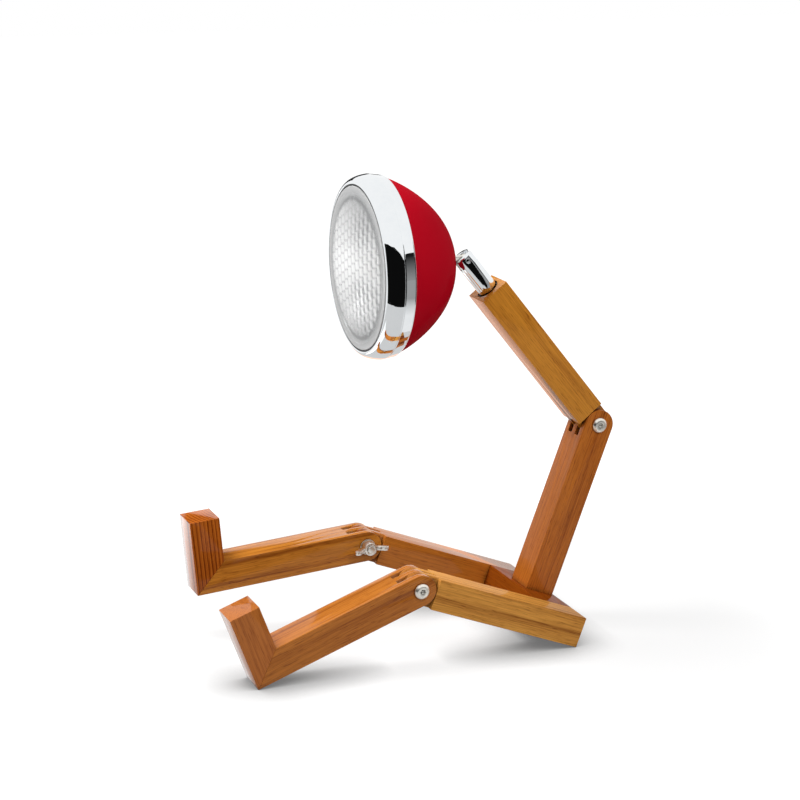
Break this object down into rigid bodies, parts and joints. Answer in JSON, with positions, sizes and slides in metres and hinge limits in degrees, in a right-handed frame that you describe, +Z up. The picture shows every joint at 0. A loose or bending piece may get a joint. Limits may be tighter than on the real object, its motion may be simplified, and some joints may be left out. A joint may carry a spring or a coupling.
{
  "type": "desk lamp",
  "caption": "Jointed wooden desk lamp shaped like a seated figure, with a red headlamp for a head, a chrome ring and a pressed glass lens.",
  "frame": {"origin": "On the table plane, under the middle of the whole lamp's bounding box as it sits.", "axes": "+Z is up, the lamp faces -Y, and +X is the seated figure's left side."},
  "size_m": [0.1601, 0.349, 0.3815],
  "materials": {
    "lacquered_wood": "glossy clear lacquer over reddish brown hardwood",
    "dowel_wood": "bare turned hardwood",
    "plated_steel": "bright zinc plated steel",
    "chrome": "polished chromium plate",
    "red_paint": "high gloss red enamel on pressed steel",
    "pressed_glass": "clear pressed glass with flutes on the inner face",
    "bulb_glass": "opal glass",
    "brass": "plain brass",
    "lampholder_ceramic": "unglazed white ceramic",
    "reflector_coat": "bright vacuum coated reflector",
    "black_rubber": "matt black rubber",
    "lead_sheath": "black flexible sheath"
  },
  "bodies": {
    "seat": {"thigh_left": "lacquered_wood", "thigh_right": "lacquered_wood", "hip_block": "lacquered_wood", "hip_dowels": "dowel_wood", "torso": "lacquered_wood", "torso_screw": "plated_steel", "seat_lead": "lead_sheath", "cord_inlet": "black_rubber", "waist_bolt": "plated_steel", "waist_washer": "plated_steel"},
    "left_leg": {"shin_left": "lacquered_wood", "foot_left": "lacquered_wood", "foot_dowels_left": "dowel_wood", "knee_bolt_left": "plated_steel", "knee_washer_left": "plated_steel"},
    "right_leg": {"shin_right": "lacquered_wood", "foot_right": "lacquered_wood", "foot_dowels_right": "dowel_wood", "knee_bolt_right": "plated_steel", "knee_washer_right": "plated_steel"},
    "arm": {"upper_arm": "lacquered_wood", "arm_lead": "lead_sheath", "neck_bush": "plated_steel"},
    "neck": {"neck_tube": "chrome", "snap_ring": "plated_steel", "neck_lead": "lead_sheath", "tilt_pin": "plated_steel"},
    "head": {"head_shell": "red_paint", "bezel_ring": "chrome", "bezel_clips": "plated_steel", "lens": "pressed_glass", "lens_gasket": "black_rubber", "reflector": "reflector_coat", "lampholder": "lampholder_ceramic", "holder_bracket": "plated_steel", "bulb_glass": "bulb_glass", "bulb_cap": "brass", "head_lug": "plated_steel", "stud_washer": "plated_steel", "stud_nut": "plated_steel", "head_lead": "lead_sheath"},
    "waist_nut": {"waist_wing_nut": "plated_steel"},
    "left_nut": {"knee_wing_nut_left": "plated_steel"},
    "right_nut": {"knee_wing_nut_right": "plated_steel"}
  },
  "joints": [
    {"name": "knee_left", "type": "hinge", "parent": "seat", "child": "left_leg", "pos_m": [0.06175, -0.01858, 0.06377], "axis": [1, 0, 0], "range_deg": [-41.2, 48.8]},
    {"name": "knee_right", "type": "hinge", "parent": "seat", "child": "right_leg", "pos_m": [-0.06175, -0.01858, 0.06377], "axis": [1, 0, 0], "range_deg": [-25.7, 64.3]},
    {"name": "waist", "type": "hinge", "parent": "seat", "child": "arm", "pos_m": [0, 0.16203, 0.16628], "axis": [1, 0, 0], "range_deg": [-149.3, 30.7]},
    {"name": "neck_swivel", "type": "hinge", "parent": "arm", "child": "neck", "pos_m": [0, 0.07387, 0.27632], "axis": [0, -0.6252, 0.7804], "range_deg": [-90, 90]},
    {"name": "head_tilt", "type": "hinge", "parent": "neck", "child": "head", "pos_m": [0, 0.04761, 0.3091], "axis": [1, 0, 0], "range_deg": [-70, 35]},
    {"name": "waist_nut_turn", "type": "hinge", "parent": "seat", "child": "waist_nut", "pos_m": [-0.022, 0.16203, 0.16628], "axis": [1, 0, 0], "continuous": true},
    {"name": "left_nut_turn", "type": "hinge", "parent": "left_leg", "child": "left_nut", "pos_m": [0.03975, -0.01858, 0.06377], "axis": [1, 0, 0], "continuous": true},
    {"name": "right_nut_turn", "type": "hinge", "parent": "right_leg", "child": "right_nut", "pos_m": [-0.03975, -0.01858, 0.06377], "axis": [1, 0, 0], "continuous": true}
  ]
}
